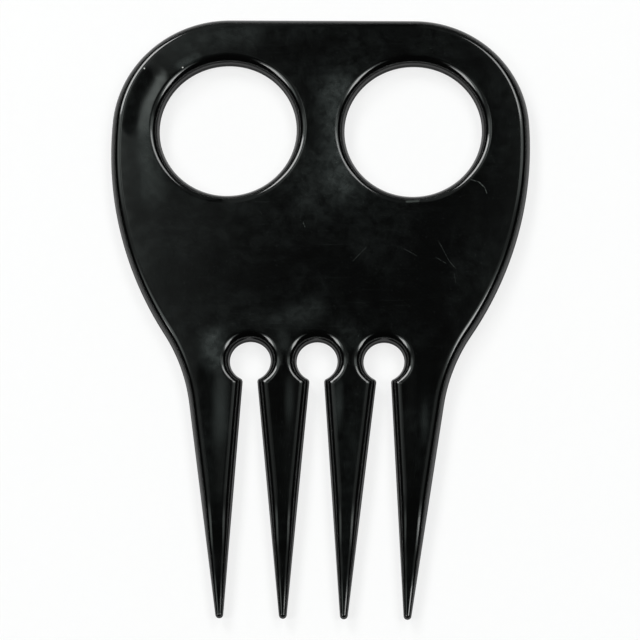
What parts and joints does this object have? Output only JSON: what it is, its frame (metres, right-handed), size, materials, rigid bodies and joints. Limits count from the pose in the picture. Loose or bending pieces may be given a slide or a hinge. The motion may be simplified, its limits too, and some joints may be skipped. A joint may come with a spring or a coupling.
{
  "type": "braiding comb",
  "caption": "Flat moulded braiding comb: a broad handle with round finger holes narrows to long tapered tines, parted by slots that start in round keyholes.",
  "frame": {"origin": "middle of the comb's length and width, on the back face that it lies on", "axes": "+X to the right across the handle, +Y along the comb from the tines to the handle, +Z out of the front face"},
  "size_m": [0.0762, 0.1115, 0.004],
  "materials": {
    "black_plastic": "polished injection-moulded polystyrene with finger smudges, faint flow marks and fine hairline scratches"
  },
  "bodies": {
    "root": {"comb_body": "black_plastic"}
  },
  "joints": []
}
